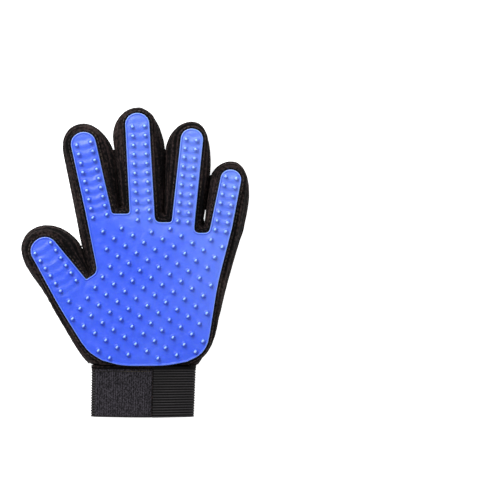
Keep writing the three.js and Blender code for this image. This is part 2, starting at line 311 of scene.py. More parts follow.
def smooth(points, count):
    """Points spaced evenly along a Catmull-Rom curve through the given ones."""
    points = np.asarray(points, float)
    padded = np.vstack([2 * points[0] - points[1], points, 2 * points[-1] - points[-2]])
    curve = []
    for a, b, c, d in zip(padded, padded[1:], padded[2:], padded[3:]):
        t = np.linspace(0, 1, 24, endpoint=False)[:, None]
        bend = (2 * a - 5 * b + 4 * c - d) * t**2 + (3 * b - a - 3 * c + d) * t**3
        curve.append(0.5 * (2 * b + (c - a) * t + bend))
    return evenly(np.vstack([*curve, points[-1:]]), count)


def rounded(points, radius, count):
    """Points spaced evenly along a polyline with its corners rounded off."""
    points = np.asarray(points, float)
    path = [points[0]]
    for before, corner, after in zip(points, points[1:], points[2:]):
        back, ahead = before - corner, after - corner
        reach = min(radius, np.hypot(*back) * 0.49, np.hypot(*ahead) * 0.49)
        start = corner + back / np.hypot(*back) * reach
        end = corner + ahead / np.hypot(*ahead) * reach
        t = np.linspace(0, 1, 9)[:, None]
        path.extend((1 - t) ** 2 * start + 2 * t * (1 - t) * corner + t**2 * end)
    return evenly([*path, points[-1]], count)


def leftward(points, closed=False):
    """Unit vectors square to a chain of points, to the left of the way that it runs."""
    if closed:
        way = np.roll(points, -1, 0) - np.roll(points, 1, 0)
    else:
        way = np.gradient(points, axis=0)
    way = way / np.maximum(np.hypot(way[:, 0], way[:, 1]), 1e-9)[:, None]
    return np.stack([-way[:, 1], way[:, 0]], 1)


edges = {"pad": [], "palm": [], "back": []}
spans = []


def add_run(zone, **layers):
    """Adds a run of columns to the three edges. Its last point starts the next run."""
    for layer, points in layers.items():
        edges[layer].extend(points[:-1])
    spans.extend([zone] * (len(layers["pad"]) - 1))


def add_finger(finger):
    base = np.linspace(0, finger.cut, round(finger.cut / STEP) + 1)
    tip_steps = round((finger.layers["back"][2] - finger.cut + 12) / STEP)
    layers = ("pad", "palm", "back")
    tips = {layer: finger.toward_tip(layer, tip_steps) for layer in layers}
    root, end = f"{finger.name}_root", f"{finger.name}_end"
    add_run(root, **{layer: finger.edge(layer, 1, base) for layer in layers})
    add_run(end, **{layer: finger.edge(layer, 1, tips[layer]) for layer in layers})
    add_run(end, **{layer: finger.edge(layer, -1, tips[layer][::-1]) for layer in layers})
    add_run(root, **{layer: finger.edge(layer, -1, base[::-1]) for layer in layers})


def add_notch(left, left_corner, right, right_corner, crotch):
    """From the right-hand finger's left side, down, across and up to the left-hand finger."""
    corners = {}
    for layer, margin in (("pad", 0.0), ("palm", MARGIN)):
        right_end = right.at(-right.layers[layer][0][0], 0)[0]
        left_end = left.at(left.layers[layer][1][0], 0)[0]
        low_right = right.at(right_corner[0] - margin, min(right_corner[1] + margin, -0.3))[0]
        low_left = left.at(left_corner[0] + margin, min(left_corner[1] + margin, -0.3))[0]
        corners[layer] = [right_end, low_right, low_left, left_end]
    ends = [right.at(-right.layers["back"][0][0], 0)[0], left.at(left.layers["back"][1][0], 0)[0]]
    seam = [ends[0], *map(np.array, crotch[::-1]), ends[1]]
    length = np.hypot(*np.diff(corners["pad"], axis=0).T).sum()
    count = round(length / STEP * 1.3) + 2
    add_run(
        "hand",
        pad=rounded(corners["pad"], 4.6, count),
        palm=rounded(corners["palm"], 3.2, count),
        back=rounded(seam, 0.6, count),
    )


def add_side(rubber, seam):
    count = round(np.hypot(*np.diff(rubber, axis=0).T).sum() / STEP) + 1
    pad = smooth(rubber, count)
    palm = pad - leftward(pad) * MARGIN
    palm[:, 1] = np.maximum(palm[:, 1], WRIST)
    add_run("hand", pad=pad, palm=palm, back=smooth(seam, count))


def add_wrist(left, right):
    """The palm's lower edge, which tucks down inside the top of the cuff."""
    pad = smooth([left, *RUBBER_WRIST, right], 60)
    palm = np.stack([np.linspace(-26.5, 41.5, 60), np.full(60, WRIST)], 1)
    tuck = np.stack([np.linspace(-24.5, 38, 60), np.full(60, WRIST - 4)], 1)
    add_run("hand", pad=pad, palm=palm, back=tuck)


add_wrist(RUBBER_THUMB_SIDE[-1], RUBBER_LITTLE_SIDE[0])
little_end = [little.at(little.layers[layer][1][0], 0)[0] for layer in ("pad", "back")]
add_side([*RUBBER_LITTLE_SIDE, little_end[0]], [*SEAM_LITTLE_SIDE, little_end[1]])
for number in range(4, -1, -1):
    add_finger(FINGERS[number])
    if number:
        add_notch(*NOTCHES[number - 1])
thumb_start = [thumb.at(-thumb.layers[layer][0][0], 0)[0] for layer in ("pad", "back")]
add_side([thumb_start[0], *RUBBER_THUMB_SIDE], [thumb_start[1], *SEAM_THUMB_SIDE])
EDGE = {layer: np.array(points) for layer, points in edges.items()}
SPANS = np.array(spans)
COUNT = len(SPANS)
OUT = {layer: -leftward(points, closed=True) for layer, points in EDGE.items()}
zones = ["hand", *(f"{finger.name}_{part}" for finger in FINGERS for part in ("root", "end"))]


def span_columns(zone):
    """Runs of neighbouring columns that belong to a zone, each with the column after it."""
    inside = np.flatnonzero(SPANS == zone)
    breaks = np.flatnonzero(np.diff(inside) > 1) + 1
    return [[*chunk, (chunk[-1] + 1) % COUNT] for chunk in np.split(inside, breaks)]


def zone_outline(zone, ring):
    """The outline of a zone at one ring of the columns, closed straight across flex lines."""
    outline = []
    chunks = span_columns(zone)
    for chunk, following in zip(chunks, chunks[1:] + chunks[:1]):
        outline.extend(ring[chunk])
        a, b = ring[chunk[-1]], ring[following[0]]
        count = max(round(np.hypot(*(b - a)) / STEP), 1)
        outline.extend(a + (b - a) * k / count for k in range(1, count))
    return np.array([p for i, p in enumerate(outline) if np.hypot(*(p - outline[i - 1])) > 1e-4])


def is_inside(points, outline):
    inside = np.zeros(len(points), bool)
    for a, b in zip(outline, np.roll(outline, -1, 0)):
        crossing = (a[1] > points[:, 1]) != (b[1] > points[:, 1])
        rise = b[1] - a[1] or 1e-12
        inside ^= crossing & (points[:, 0] < (b[0] - a[0]) * (points[:, 1] - a[1]) / rise + a[0])
    return inside


def nearest(places):
    tree = kdtree.KDTree(len(places))
    for i, place in enumerate(places):
        tree.insert((place[0], place[1], 0), i)
    tree.balance()
    return tree


def room_from(tree, points):
    return np.array([tree.find((x, y, 0))[2] for x, y in points])


def fill(outline, spacing):
    """Points and triangles that cover the inside of an outline on an even lattice."""
    low, high = outline.min(0), outline.max(0)
    rows = np.arange(low[1], high[1], spacing * 0.866)
    lattice = np.array([
        (x + spacing / 2 * (i % 2), y)
        for i, y in enumerate(rows) for x in np.arange(low[0], high[0], spacing)
    ])
    lattice = lattice[is_inside(lattice, outline)]
    if len(lattice):
        lattice = lattice[room_from(nearest(outline), lattice) > spacing * 0.6]
    points = [Vector(p) for p in outline] + [Vector(p) for p in lattice]
    made = delaunay_2d_cdt(points, [], [list(range(len(outline)))], 1, 1e-7)
    return np.array(made[0]), [tuple(face) for face in made[2]]


def make_piece(name, parts, finish, sharp=40.0, thickness=None):
    """One mesh from parts of (points in millimetres, faces, flat cloth places), welded."""
    verts, faces, flats = [], [], []
    for points, part_faces, flat in parts:
        faces.extend(tuple(i + len(verts) for i in face) for face in part_faces)
        verts.extend(tuple(np.asarray(p) * MM) for p in points)
        flats.extend(flat)
    mesh = bpy.data.meshes.new(name)
    mesh.from_pydata(verts, [], faces)
    layer = mesh.uv_layers.new(name="cloth")
    corners = np.array([loop.vertex_index for loop in mesh.loops])
    layer.data.foreach_set("uv", (np.asarray(flats, float)[corners] * MM).astype(np.float32).ravel())
    shape = bmesh.new()
    shape.from_mesh(mesh)
    bmesh.ops.remove_doubles(shape, verts=shape.verts, dist=1e-6)
    bmesh.ops.dissolve_degenerate(shape, edges=shape.edges, dist=1e-7)
    shape.to_mesh(mesh)
    shape.free()
    piece = bpy.data.objects.new(name, mesh)
    scene.collection.objects.link(piece)
    if thickness:
        cloth = piece.modifiers.new("thickness", "SOLIDIFY")
        cloth.thickness = thickness * MM
        cloth.offset = -1
        graph = bpy.context.evaluated_depsgraph_get()
        piece.data = bpy.data.meshes.new_from_object(piece.evaluated_get(graph))
        piece.modifiers.clear()
    piece.data.shade_smooth()
    piece.data.set_sharp_from_angle(angle=math.radians(sharp))
    piece.data.materials.clear()
    piece.data.materials.append(finish.material)
    return piece


def strip(columns, rings, flats):
    """Quads between neighbouring columns of a grid of points: rings[ring][column]."""
    rows = len(rings)
    points = [rings[r][c] for c in columns for r in range(rows)]
    flat = [flats[r][c] for c in columns for r in range(rows)]
    faces = [
        (i * rows + r, i * rows + r + 1, (i + 1) * rows + r + 1, (i + 1) * rows + r)
        for i in range(len(columns) - 1) for r in range(rows - 1)
    ]
    return points, faces, flat


def bind(piece, zone, slot, *nodes):
    """Hides the parts they stand for. The hand's pieces ride on it; a finger's pieces stay where they lie.
    """
    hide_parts(*nodes)
    if zone == "hand":
        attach(piece, "hand")
        return
    name, part = zone.split("_")
    finger = next(f for f in FINGERS if f.name == name)
    if part == "root":
        finger.spot(0)
        finger.spot(BEND)
        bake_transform(piece)
    else:
        start, end = finger.spot(finger.cut), finger.spot(finger.middle + BEND_HALF)
        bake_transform(piece)


def part_of(zone):
    """The prefix of the modelled parts that a zone's pieces stand for."""
    return zone.replace("_root", "_base").replace("_end", "_tip")


TRAVEL = np.concatenate([[0], np.cumsum(np.hypot(*np.diff(EDGE["back"], axis=0).T))])


def lift(ring, height):
    return np.column_stack([ring, np.broadcast_to(height, len(ring))])


# Back of the hand and fingers: open polyester air mesh, cut as one panel and sewn to the
# side walls along the back seam. The small holes in its face are shaded, not cut.
MESH_CLOTH = 1.2
MESH_HOLE = 1.9

CLOTH = {"Roughness": 0.9, "Specular IOR Level": 0.15}

air_mesh = Finish("air_mesh", CLOTH)
hole_u, hole_v, _ = air_mesh.split(air_mesh.cloth((1000 / MESH_HOLE, 1000 / MESH_HOLE, 1)))
weave = (hole_u * math.tau).sine() * (hole_v * math.tau).sine()
speck = air_mesh.grain(air_mesh.place(), 900.0)
air_mesh.colour(air_mesh.blend((weave * 0.5 + 0.5) * speck, (0.003, 0.0025, 0.003), (0.022, 0.019, 0.022)))
air_mesh.relief(weave + speck * 0.5, 0.0004)

back_inner = EDGE["back"] - OUT["back"] * 1.2
for zone in zones:
    outline = zone_outline(zone, back_inner)
    if zone == "hand":
        outline[:, 1] = np.maximum(outline[:, 1], WRIST)
    flat, faces = fill(outline, 3.0)
    low = lift(flat, [0.35 + 0.25 * noise.noise((x * 0.09, y * 0.09, 4)) for x, y in flat])
    faces = [face[::-1] for face in faces]
    panel = make_piece(f"{zone}_air_mesh", [(low, faces, flat)], air_mesh, thickness=MESH_CLOTH)
    bind(panel, zone, "mesh", f"{part_of(zone)}_back")


# Palm fabric and side walls: black brushed knit. The palm piece shows as a narrow border
# outside the rubber; strips of the same knit stand between it and the back seam.
WALL_ROWS = 13
PALM_TOP = 14.7
SEAM_LOW = 1.5
CREASE = 0.9
BULGE = 1.1
UNDER_RUBBER = 14.75
KNIT_CLOTH = 0.8

knit = Finish("black_knit", CLOTH)
knit_u, knit_v, _ = knit.split(knit.cloth((1000 / 0.9, 1000 / 1.3, 1)))
loops = (knit_u * math.tau + (knit_v * math.tau).sine() * 1.2).sine()
fuzz = knit.grain(knit.place(), 520.0, 4.0)
streak = knit.grain(knit.cloth((25.0, 420.0, 1.0)), 1.0)
tone = (loops * 0.12 + (fuzz - 0.5) * 3.0 + (streak - 0.5) * 3.4 + 0.19).clamped()
knit.colour(knit.blend(tone, (0.0004, 0.0001, 0.0002), (0.052, 0.033, 0.031)))
knit.relief(loops * 0.5 + fuzz, 0.00035)

TUCKED = EDGE["back"][:, 1] < WRIST - 1


def crumple(column, share):
    """How far the cloth of a side wall stands out or in at one place, in millimetres."""
    x, y = EDGE["palm"][column]
    long_fold = noise.noise((x * 0.05, y * 0.05, share * 3.1))
    short_fold = noise.noise((x * 0.22, y * 0.22, share * 1.3 + 7))
    return (0.75 * long_fold + 0.5 * short_fold) * math.sin(math.pi * share)


def touching():
    """How far each column must stand out at the back seam to meet a neighbouring finger."""
    tree = nearest(EDGE["back"])
    gaps = np.zeros(COUNT)
    for c, (x, y) in enumerate(EDGE["back"]):
        found = tree.find_range((x, y, 0), 1.3)
        others = [space for _, i, space in found if 3 < abs(i - c) < COUNT - 3]
        gaps[c] = min(others) / 2 + 0.12 if others else 0
    return gaps


KISS = touching()
SEAM_OUT = 0.3
HEM = EDGE["back"] + OUT["back"] * np.where(KISS > 0, 0, SEAM_OUT)[:, None]


def wall_ring(share):
    """A ring of the side wall, from the palm seam at 0 down to the back seam at 1."""
    turn = math.pi / 2 * share
    outward = HEM - OUT["back"] * 0.9 - EDGE["palm"]
    ring = EDGE["palm"] + outward * (0.65 * math.sin(turn) + 0.35 * share)
    fall = 0.6 * (1 - math.cos(turn)) + 0.4 * share
    swell = BULGE * math.sin(math.pi * min(share * 1.05, 1)) ** 0.7
    pinch = CREASE * math.exp(-((share / 0.08) ** 2))
    fold = 0.65 * math.cos(math.tau * 2.3 * (share - 0.2)) * math.sin(math.pi * share)
    push = np.array([swell + fold - pinch + crumple(c, share) for c in range(COUNT)])
    steep = np.clip(np.hypot(outward[:, 0], outward[:, 1]) / 10.0, 0, 0.75) * (1 - share)
    near_seam = math.exp(-(((share - 0.85) / 0.12) ** 2))
    ring = ring + OUT["palm"] * (push * (1 - steep))[:, None]
    meeting = EDGE["back"] + OUT["back"] * KISS[:, None]
    ring = ring + (meeting - ring) * (near_seam * (KISS > 0))[:, None]
    heights = PALM_TOP - 0.5 - (PALM_TOP - 0.5 - SEAM_LOW) * fall + push * steep
    down, inside = min(share / 0.6, 1), max((share - 0.6) / 0.4, 0)
    ring[TUCKED] = EDGE["palm"][TUCKED] + (EDGE["back"][TUCKED] - EDGE["palm"][TUCKED]) * inside
    heights[TUCKED] = PALM_TOP - 0.5 - 5.6 * down
    return np.column_stack([ring, heights])


def border_ring(distance, height):
    inward = EDGE["pad"] + (EDGE["palm"] - EDGE["pad"]) * distance
    return lift(inward, height)


skin_rings = [
    border_ring(-0.45, UNDER_RUBBER), border_ring(0.0, 14.9), border_ring(0.2, 15.15),
    border_ring(0.45, 15.3),
    border_ring(0.7, 15.2), border_ring(0.9, UNDER_RUBBER),
    *(wall_ring(row / (WALL_ROWS - 1)) for row in range(WALL_ROWS)),
]
ring_gaps = [0] + [
    float(np.median(np.linalg.norm(b - a, axis=1))) for a, b in zip(skin_rings, skin_rings[1:])
]
skin_flats = [np.column_stack([TRAVEL, np.full(COUNT, drop)]) for drop in np.cumsum(ring_gaps)]
hand_nodes = [
    "hand_palm", "little_side_wall", "thumb_side_wall", "thumb_index_web", "index_middle_web",
    "middle_ring_web", "ring_little_web",
]
for zone in zones:
    parts = [strip(chunk, skin_rings, skin_flats) for chunk in span_columns(zone)]
    flat, faces = fill(zone_outline(zone, skin_rings[0][:, :2]), 4.0)
    parts.append((lift(flat, UNDER_RUBBER), faces, flat))
    if zone == "hand":
        nodes = hand_nodes
    elif zone.endswith("_root"):
        nodes = [f"{part_of(zone)}_{part}" for part in ("palm", "fourchette_left", "fourchette_right")]
    else:
        nodes = [f"{part_of(zone)}_{part}" for part in ("palm", "fourchette")]
    skin = make_piece(f"{zone}_knit", parts, knit, thickness=KNIT_CLOTH)
    bind(skin, zone, "knit", *nodes)


# Bar tacks: small round patches of the knit laid near three of the crotches, just above the
# air mesh. They are supposed, not known. The one between index and middle finger covers a
# slit between their walls; the other two cover nothing that shows from straight above.
TACK_RADIUS = 1.7
TACK_HEIGHT = 2.6
TACK_SIDES = 12
TACK_PLACES = [(-10.8, 41.8), (21.7, 40.5), (-35.5, -1.5)]


def arc(centre, radius, start, end, steps):
    angles = np.radians(np.linspace(start, end, steps))
    return [(centre[0] + radius * math.cos(a), centre[1] + radius * math.sin(a)) for a in angles]


def tack_part(x, y):
    flat = np.array(arc((x, y), TACK_RADIUS, 0, 360 - 360 / TACK_SIDES, TACK_SIDES))
    return lift(flat, TACK_HEIGHT), [tuple(range(TACK_SIDES))], flat


tacks = [tack_part(*place) for place in TACK_PLACES]
bind(make_piece("bar_tacks", tacks, knit, thickness=KNIT_CLOTH), "hand", "knit")


# Back seam: a rolled edge of the knit, turned and sewn over the edge of the air mesh, which
# shows as a thick dark rim all round the glove.
ROLL = 1.05
ROLL_SIDES = 8

rim_rings = []
rolled = HEM - OUT["back"] * ROLL
for k in range(ROLL_SIDES + 1):
    turn = math.tau * k / ROLL_SIDES
    wobble = np.array([0.12 * noise.noise((x * 0.3, y * 0.3, 2)) for x, y in rolled])
    ring = rolled + OUT["back"] * ((ROLL + wobble) * math.cos(turn))[:, None]
    rim_rings.append(np.column_stack([ring, 1.25 - (ROLL + wobble) * math.sin(turn)]))
rim_flats = [np.column_stack([TRAVEL, np.full(COUNT, k * 0.8)]) for k in range(ROLL_SIDES + 1)]
for zone in zones:
    parts = []
    for chunk in span_columns(zone):
        shown = [c for c in chunk if EDGE["back"][c][1] > WRIST - 1]
        if len(shown) > 1:
            parts.append(strip(shown, rim_rings, rim_flats))
    bind(make_piece(f"{zone}_seam_roll", parts, knit), zone, "knit")


# Topstitching: a row of short stitches in dark thread, sewn through the palm fabric just
# outside the rubber's edge.
STITCH_OUT = 1.7
STITCH = 2.0
STITCH_STEP = 3.0
STITCH_RADIUS = 0.24
STITCH_HEIGHT = 15.25

thread = Finish("thread", {"Roughness": 0.6, "Specular IOR Level": 0.3})
twist = thread.grain(thread.place(), 60.0, 1.0)
thread.colour(thread.blend(((twist - 0.45) * 5.0).clamped(), (0.012, 0.009, 0.007), (0.075, 0.06, 0.04)))


def stitch_part(start, end, height):
    """A stitch that dips into the cloth at both ends."""
    way = (end - start) / np.hypot(*(end - start))
    side = np.array([-way[1], way[0]]) * STITCH_RADIUS
    points = []
    for share, rise, width in ((0, -0.25, 0.5), (0.2, 0.1, 1.0), (0.8, 0.1, 1.0), (1, -0.25, 0.5)):
        middle = start + (end - start) * share
        for k, crown in ((-1, 0.0), (-0.5, STITCH_RADIUS), (0.5, STITCH_RADIUS), (1, 0.0)):
            points.append((*(middle + side * width * k), height + rise + crown))
    faces = [(r * 4 + k, r * 4 + 4 + k, r * 4 + 5 + k, r * 4 + 1 + k) for r in range(3) for k in range(3)]
    return points, faces, [point[:2] for point in points]


def stitches_along(path, height, step=STITCH_STEP):
    travelled = np.concatenate([[0], np.cumsum(np.hypot(*np.diff(path, axis=0).T))])
    starts = np.arange(step / 2, travelled[-1] - STITCH, step)
    parts = []
    for start in starts:
        ends = [np.interp([start, start + STITCH], travelled, path[:, k]) for k in (0, 1)]
        parts.append(stitch_part(*np.transpose(ends), height))
    return parts


stitch_ring = EDGE["pad"] + (EDGE["palm"] - EDGE["pad"]) * (STITCH_OUT / MARGIN)
for zone in zones:
    parts = []
    for chunk in span_columns(zone):
        shown = stitch_ring[[c for c in chunk if not TUCKED[c]]]
        if len(shown) > 3:
            parts.extend(stitches_along(shown, STITCH_HEIGHT))
    if parts:
        bind(make_piece(f"{zone}_topstitch", parts, thread), zone, "knit")


# Rubber: a soft silicone moulding on the palm and every finger. A fine raised lip, a piece of
# its own here, runs round its edge, and its face swells in low waves at every row of nubs.
PAD_TOP = 16.85
CROWN = 0.9
LIP = [(0, 14.9), (0.04, 16.3), (0.14, 17.2), (0.4, 17.6), (0.75, 17.6), (1.1, 17.2), (1.6, PAD_TOP)]
WAVE = {"thumb": 0.16, "index": 0.32, "middle": 0.42, "ring": 0.52, "little": 0.56}
PALM_WAVE = 0.09
SAG = 1.1
LOWEST_NUB = -73.0
NUB_CLEARANCE = 3.4
LATTICE_ORIGIN = np.array([-23.85, 23.4])
LATTICE_ACROSS = np.array([8.33, -5.33])
LATTICE_ALONG = np.array([5.63, 7.8])
LATTICE_REACH = 16
RUBBER_SPACING = 1.25
DEEP_BLUE = (0.040, 0.112, 0.82)
PALE_BLUE = (0.185, 0.300, 0.92)
# The colour of the painted highlights on the rubber's lip and on the nub tips.
HIGHLIGHT_BLUE = (0.42, 0.62, 0.98)


def paint_rubber(finish, highlight=0.0):
    """Mottled blue with a painted sheen: paler towards the upper right and the thumb's side, where the
    light's gloss falls. The second argument mixes in a painted highlight.
    """
    spot_x, spot_y, _ = finish.split(finish.place())
    cloudy = finish.grain(finish.place(), 22.0, 2.0)
    # Painted sheen: the blue is painted paler towards the upper right and the thumb's side, where the
    # light's gloss falls; the cloudy noise is the rubber's own mottling.
    outer = (spot_x * 6.0 + spot_y * 5.2 + 0.02).clamped() + (spot_x * -9.0 - 0.4).clamped() * 0.5
    pale = (outer + cloudy * 0.7 - 0.35).clamped()
    finish.roughness(finish.grain(finish.place(), 160.0) * 0.16 + 0.33)
    body = finish.blend(pale, DEEP_BLUE, PALE_BLUE)
    # Painted highlight, mixed in as far as the second argument asks.
    return finish.blend(highlight, body, HIGHLIGHT_BLUE)


SILICONE = {
    "Specular IOR Level": 0.45, "Subsurface Weight": 0.35, "Subsurface Scale": 0.004,
    "Subsurface Radius": (0.15, 0.35, 1.0),
}

rubber = Finish("blue_rubber", SILICONE)
rubber.colour(paint_rubber(rubber))
pitting = rubber.grain(rubber.place(), 260.0, 2.0) * 0.7 + rubber.grain(rubber.place(), 1100.0) * 0.3
rubber.relief(pitting, 0.0005)

pad_edge = nearest(EDGE["pad"])


def finger_nubs(finger, first, last):
    rows = [finger.pitch * (row + 0.5) for row in range(first, last)]
    return [finger.at(across, along)[0] for along in rows for across in finger.columns]


def palm_nubs():
    roots = [place for finger in FINGERS for place in finger_nubs(finger, -finger.root_rows, 0)]
    outline = zone_outline("hand", EDGE["pad"])
    steps = range(-LATTICE_REACH, LATTICE_REACH + 1)
    turns = [LATTICE_ACROSS * i + LATTICE_ALONG * j for i in steps for j in steps]
    lattice = LATTICE_ORIGIN + np.array(turns)
    lattice = lattice[is_inside(lattice, outline) & (lattice[:, 1] > LOWEST_NUB)]
    lattice = lattice[room_from(pad_edge, lattice) > NUB_CLEARANCE]
    lattice = lattice[room_from(nearest(roots), lattice) > 2 * NUB_CLEARANCE]
    flex = [finger.at(across, 0)[0] for finger in FINGERS for across in range(-8, 9, 2)]
    return [*roots, *lattice[room_from(nearest(flex), lattice) > NUB_CLEARANCE]]


zone_nubs = {"hand": palm_nubs()}
for finger in FINGERS:
    lowest = sum(finger.pitch * (row + 0.5) < finger.cut for row in range(finger.rows))
    zone_nubs[f"{finger.name}_root"] = finger_nubs(finger, 0, lowest)
    zone_nubs[f"{finger.name}_end"] = finger_nubs(finger, lowest, finger.rows)
nub_tree = nearest([place for places in zone_nubs.values() for place in places])


def row_wave(x, y):
    """Crests along the rows of nubs: across each finger, and fainter on the palm."""
    palm_turn = (Vector((x, y)) - Vector(LATTICE_ORIGIN)).dot(Vector((0.53, 0.85))) / 9.6
    height = PALM_WAVE * math.cos(math.tau * palm_turn)
    for finger in FINGERS:
        across, along = (np.array([x, y]) - finger.root) @ np.array([finger.across, finger.along]).T
        if abs(across) < 14 and along > -8:
            share = min((along + 8) / 8, 1)
            sag = SAG * (1 - (across / 6) ** 2) + 0.5 * noise.noise((x * 0.3, y * 0.3, 8))
            crest = math.cos(math.tau * ((along + sag) / finger.pitch - 0.5))
            patchy = WAVE[finger.name] * (1 + 0.8 * noise.noise((x * 0.12, y * 0.12, 6)))
            height = height * (1 - share) + patchy * crest * share
    return height


def rubber_height(x, y):
    """Height of the rubber's face: a low crown, soft waves and a swelling under each nub."""
    room = pad_edge.find((x, y, 0))[2]
    fade = min(max((room - 1.6) / 3.0, 0), 1)
    crown = CROWN * (1 - math.exp(-room / 16))
    wave = 0.35 * noise.noise((x * 0.085, y * 0.085, 1)) + 0.15 * noise.noise((x * 0.28, y * 0.28, 5))
    swelling = 0.3 * math.exp(-((nub_tree.find((x, y, 0))[2] / 2.6) ** 2))
    return PAD_TOP + (crown + wave + swelling + row_wave(x, y)) * fade


lip_rubber = Finish("blue_lip", SILICONE)
_, lip_inset, _ = lip_rubber.split(lip_rubber.cloth((1, 1000, 1)))
# Painted highlight: the lip is painted paler towards its outer edge, for the light along the rim.
lip_rubber.colour(paint_rubber(lip_rubber, ((0.8 - lip_inset) * 1.1).clamped() * 0.55))

lip_rings = [lift(EDGE["pad"] - OUT["pad"] * inset, height) for inset, height in LIP][::-1]
lip_flats = [np.column_stack([TRAVEL, np.full(COUNT, inset)]) for inset, _ in LIP][::-1]
for zone in zones:
    flat, faces = fill(zone_outline(zone, lip_rings[0][:, :2]), RUBBER_SPACING)
    face = (lift(flat, [rubber_height(x, y) for x, y in flat]), faces, flat)
    pad = make_piece(f"{zone}_rubber", [face], rubber, sharp=60.0)
    bind(pad, zone, "rubber", "palm_pad" if zone == "hand" else f"{part_of(zone)}_pad")
    lip = [strip(chunk, lip_rings, lip_flats) for chunk in span_columns(zone)]
    bind(make_piece(f"{zone}_lip", lip, lip_rubber, sharp=60.0), zone, "rubber")


# Nubs: pointed pegs moulded in one with the rubber, a little blade-like on the palm. Their colour is
# painted paler towards the tip, a painted highlight for the light on their tops.
NUB_HEIGHT = 3.4
NUB_PROFILE = [
    (2.3, -0.06), (1.8, 0.1), (1.5, 0.4), (1.3, 0.9), (1.12, 1.6), (0.98, 2.3), (0.8, 2.85),
    (0.5, 3.22), (0.22, 3.37),
]
NUB_SIDES = 14
BLADE = (1.3, 0.82)
BLADE_TURN = math.radians(50)

nub_rubber = Finish("blue_nubs", SILICONE)
_, nub_rise, _ = nub_rubber.split(nub_rubber.cloth((1, 1000 / NUB_HEIGHT, 1)))
# Painted highlight: the nubs are painted paler from a little above their base up to the tip.
nub_rubber.colour(paint_rubber(nub_rubber, ((nub_rise - 0.35) * 1.6).clamped()))


def nub_part(x, y, blade):
    base = rubber_height(x, y)
    points, flat, faces = [], [], []
    for radius, rise in NUB_PROFILE:
        stretch = min(rise / 1.2, 1) if blade and rise > 0 else 0
        for k in range(NUB_SIDES):
            angle = math.tau * k / NUB_SIDES
            long = radius * math.cos(angle) * (1 + (BLADE[0] - 1) * stretch)
            wide = radius * math.sin(angle) * (1 + (BLADE[1] - 1) * stretch)
            px = long * math.cos(BLADE_TURN) - wide * math.sin(BLADE_TURN)
            py = long * math.sin(BLADE_TURN) + wide * math.cos(BLADE_TURN)
            points.append((x + px, y + py, base + rise))
            flat.append((angle, max(rise, 0)))
    points.append((x, y, base + NUB_HEIGHT))
    flat.append((0, NUB_HEIGHT))
    for r in range(len(NUB_PROFILE) - 1):
        for k in range(NUB_SIDES):
            a, b = r * NUB_SIDES + k, r * NUB_SIDES + (k + 1) % NUB_SIDES
            faces.append((a, b, b + NUB_SIDES, a + NUB_SIDES))
    last = (len(NUB_PROFILE) - 1) * NUB_SIDES
    faces.extend((last + k, last + (k + 1) % NUB_SIDES, last + NUB_SIDES) for k in range(NUB_SIDES))
    return points, faces, flat


for zone, places in zone_nubs.items():
    parts = [nub_part(x, y, zone == "hand") for x, y in places]
    bind(make_piece(f"{zone}_nubs", parts, nub_rubber, sharp=70.0), zone, "rubber")


# Cuff: wide ribbed elastic, folded round the thumb's side of the wrist, with its front layer
# stopping short under the strap. Its ribs run round the wrist, and its top edge is plain.
TOP, BOTTOM = -76.8, -115.8
RIB = 1.93
RIB_RISE = 0.3
PLAIN = 3.2
CUFF_ROWS = 126
CUFF_LEFT, CUFF_RIGHT = -32.6, 45.8
FOLD_LEFT = (-27.0, 5.6)
FOLD_RIGHT = (38.0, 7.8)
ELASTIC = 1.4

elastic = Finish("ribbed_elastic", CLOTH)
weave_u, weave_v, _ = elastic.split(elastic.cloth((1000 / 0.9, 1000 / RIB, 1)))
cords = (weave_u * math.tau).sine() * 0.5 + 0.5
painted_rib_light = (weave_v * math.tau).sine() * 0.5 + 0.5
yarn = elastic.grain(elastic.place(), 1200.0)
# Painted light and shade: the rib crests are painted lighter and their valleys darker; the cords and yarn
# are the knit's own texture.
shade = ((painted_rib_light ** 1.6) * 0.95 + cords * 0.1 + yarn * 0.4 - 0.25).clamped()
# The plain band along the top is painted down to the darkest colour, a painted shade under the hand's
# edge.
shade = shade * (weave_v * 4.0).clamped()
elastic.colour(elastic.blend(shade, (0.0005, 0.0004, 0.0005), (0.046, 0.043, 0.045)))
elastic.relief(cords * 0.4 + yarn, 0.00025)


def cuff_spot(x, y, z):
    """Lets the cuff hang a little askew and narrower at its lower edge."""
    down = (TOP - y) / (TOP - BOTTOM)
    aside = -0.6 - 0.9 * (x - CUFF_LEFT) / (CUFF_RIGHT - CUFF_LEFT)
    sag = 0.35 * math.sin((x + 20) * 0.06) * down
    return x + aside * down, y - sag, z


def rib_rise(x, y):
    drop = TOP - y - PLAIN
    if drop < 0:
        return RIB_RISE * (1 - math.exp(-((drop + 0.4) / 0.5) ** 2))
    waver = 0.35 * noise.noise((x * 0.05, y * 0.03, 9))
    return RIB_RISE * math.sin(math.tau * (drop / RIB + waver))


def ribbed(section, upward, top=TOP):
    """Elastic along a section of (x, z) points, run down the cuff. Its right side shows."""
    section = evenly(section, max(round(np.hypot(*np.diff(section, axis=0).T).sum() / 1.3), 4))
    aside = leftward(section) * (1 if upward else -1)
    heights = np.linspace(BOTTOM, top, CUFF_ROWS)
    if not upward:
        heights = heights[::-1]
    rings, flats = [], []
    for (x, z), (out_x, out_z), around in zip(section, aside, range(len(section))):
        rise = [rib_rise(around * 1.3, y) for y in heights]
        rings.append([cuff_spot(x + out_x * r, y, z + out_z * r) for y, r in zip(heights, rise)])
        flats.append([(around * 1.3, TOP - y - PLAIN) for y in heights])
    return strip(range(CUFF_ROWS), rings, flats)


